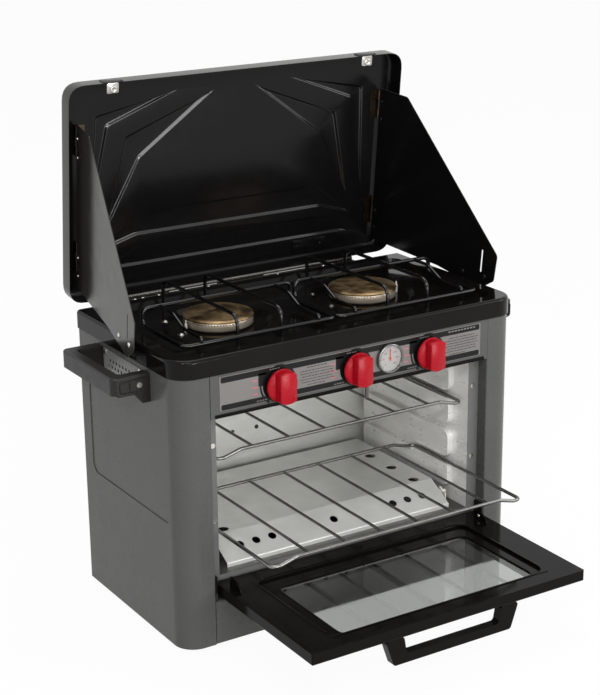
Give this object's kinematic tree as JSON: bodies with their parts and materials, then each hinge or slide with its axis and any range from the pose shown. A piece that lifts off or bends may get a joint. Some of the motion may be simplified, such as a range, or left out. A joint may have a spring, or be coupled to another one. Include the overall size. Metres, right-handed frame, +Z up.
{
  "type": "folding camp oven",
  "caption": "Folding camp stove: a grey steel cabinet with a small gas oven, drop-down glass door and wire racks under a burner top with a hinged lid and fold-out windscreens.",
  "frame": {"origin": "on the ground under the middle of the open object, as it stands with lid up and door down", "axes": "+X to the right seen from the front, +Y to the back, +Z up"},
  "size_m": [0.66, 0.5734, 0.7348],
  "materials": {
    "grey_enamel": "semi-gloss grey baked enamel",
    "dark_enamel": "glossy dark enamel",
    "black_enamel": "satin black enamel",
    "galvanised": "bright galvanised sheet",
    "door_enamel": "black enamel with a soft shine",
    "steel_wire": "bright plated wire",
    "brass": "turned brass",
    "burner_metal": "cast, satin",
    "red_knob": "glossy red",
    "label": "printed satin foil",
    "glass": "clear heat-proof glass",
    "dial_glass": "clear",
    "dial_case": "bright bezel over a white face",
    "needle": "red",
    "pull_metal": "satin grey",
    "handle_plastic": "black, fine grain",
    "screw_metal": "zinc-plated",
    "rubber": "matt",
    "ceramic": "white ceramic with a steel tip"
  },
  "bodies": {
    "cabinet": {"back_panel": "galvanised", "base_pan": "galvanised", "burner_bases": "burner_metal", "burner_caps": "brass", "burner_venturis": "screw_metal", "case_screws": "screw_metal", "control_label": "label", "control_panel": "grey_enamel", "cooktop_pan": "dark_enamel", "door_hinge_brackets": "black_enamel", "feet": "rubber", "gas_inlet": "brass", "gas_manifold": "screw_metal", "gas_valves": "brass", "igniter_electrodes": "ceramic", "kick_panel": "grey_enamel", "lid_hinge_base": "screw_metal", "oven_back": "galvanised", "oven_baffle": "galvanised", "oven_burner": "screw_metal", "oven_ceiling": "galvanised", "oven_feed_pipe": "screw_metal", "oven_floor": "galvanised", "oven_front_frame": "galvanised", "oven_wall_left": "galvanised", "oven_wall_right": "galvanised", "screen_clips": "black_enamel", "side_handle_left": "handle_plastic", "side_handle_right": "handle_plastic", "side_panel_left": "grey_enamel", "side_panel_right": "grey_enamel", "thermometer_case": "dial_case", "thermometer_glass": "dial_glass", "thermometer_probe": "screw_metal", "vent_plates": "black_enamel"},
    "lid": {"lid_shell": "grey_enamel", "lid_hinge_leaf": "screw_metal", "lid_catches": "black_enamel", "screen_hinges": "screw_metal"},
    "windscreen_left": {"windscreen_left": "grey_enamel"},
    "windscreen_right": {"windscreen_right": "grey_enamel"},
    "door": {"door_pan": "door_enamel", "door_liner": "door_enamel", "door_glass": "glass", "door_glass_retainer": "galvanised", "door_pull": "pull_metal"},
    "rack_lower": {"rack_lower": "steel_wire"},
    "rack_upper": {"rack_upper": "steel_wire"},
    "grate_left": {"grate_left": "steel_wire"},
    "grate_right": {"grate_right": "steel_wire"},
    "thermometer_needle": {"thermometer_needle": "needle"},
    "knob_left_collar": {"knob_left_collar": "black_enamel"},
    "knob_left": {"knob_left": "red_knob", "knob_left_stem": "screw_metal"},
    "knob_middle_collar": {"knob_middle_collar": "black_enamel"},
    "knob_middle": {"knob_middle": "red_knob", "knob_middle_stem": "screw_metal"},
    "knob_right_collar": {"knob_right_collar": "black_enamel"},
    "knob_right": {"knob_right": "red_knob", "knob_right_stem": "screw_metal"}
  },
  "joints": [
    {"name": "lid_hinge", "type": "hinge", "parent": "cabinet", "child": "lid", "pos_m": [0, 0.25446, 0.417], "axis": [-1, 0, 0], "range_deg": [0, 16]},
    {"name": "windscreen_left_hinge", "type": "hinge", "parent": "lid", "child": "windscreen_left", "pos_m": [-0.253, 0.28279, 0.4201], "axis": [0, 0.1087, -0.9941], "range_deg": [0, 25]},
    {"name": "windscreen_right_hinge", "type": "hinge", "parent": "lid", "child": "windscreen_right", "pos_m": [0.253, 0.28279, 0.4201], "axis": [0, -0.1087, 0.9941], "range_deg": [0, 25]},
    {"name": "door_hinge", "type": "hinge", "parent": "cabinet", "child": "door", "pos_m": [0, -0.04574, 0.087], "axis": [-1, 0, 0], "range_deg": [0, 90]},
    {"name": "rack_lower_slide", "type": "slide", "parent": "cabinet", "child": "rack_lower", "axis": [0, 1, 0], "range_m": [0, 0.14]},
    {"name": "rack_upper_slide", "type": "slide", "parent": "cabinet", "child": "rack_upper", "axis": [0, 1, 0], "range_m": [-0.14, 0]},
    {"name": "grate_left_lift", "type": "slide", "parent": "cabinet", "child": "grate_left", "axis": [0, 0, 1], "range_m": [0, 0.06]},
    {"name": "grate_right_lift", "type": "slide", "parent": "cabinet", "child": "grate_right", "axis": [0, 0, 1], "range_m": [0, 0.06]},
    {"name": "thermometer_needle_turn", "type": "hinge", "parent": "cabinet", "child": "thermometer_needle", "pos_m": [0.0545, -0.05604, 0.3655], "axis": [0, 1, 0], "range_deg": [-120, 120], "stiffness_Nm_per_rad": 0.002},
    {"name": "knob_left_push", "type": "slide", "parent": "cabinet", "child": "knob_left_collar", "axis": [0, 1, 0], "range_m": [0, 0.003], "stiffness_N_per_m": 900},
    {"name": "knob_left_turn", "type": "hinge", "parent": "knob_left_collar", "child": "knob_left", "pos_m": [-0.1215, -0.06204, 0.3615], "axis": [0, -1, 0], "range_deg": [0, 150]},
    {"name": "knob_middle_push", "type": "slide", "parent": "cabinet", "child": "knob_middle_collar", "axis": [0, 1, 0], "range_m": [0, 0.003], "stiffness_N_per_m": 900},
    {"name": "knob_middle_turn", "type": "hinge", "parent": "knob_middle_collar", "child": "knob_middle", "pos_m": [0, -0.06204, 0.3615], "axis": [0, -1, 0], "range_deg": [0, 180]},
    {"name": "knob_right_push", "type": "slide", "parent": "cabinet", "child": "knob_right_collar", "axis": [0, 1, 0], "range_m": [0, 0.003], "stiffness_N_per_m": 900},
    {"name": "knob_right_turn", "type": "hinge", "parent": "knob_right_collar", "child": "knob_right", "pos_m": [0.1215, -0.06204, 0.3615], "axis": [0, -1, 0], "range_deg": [0, 150]}
  ],
  "couplings": [
    {"joint": "rack_lower_slide", "follows": "door_hinge", "m_per_rad": 0.089127}
  ]
}
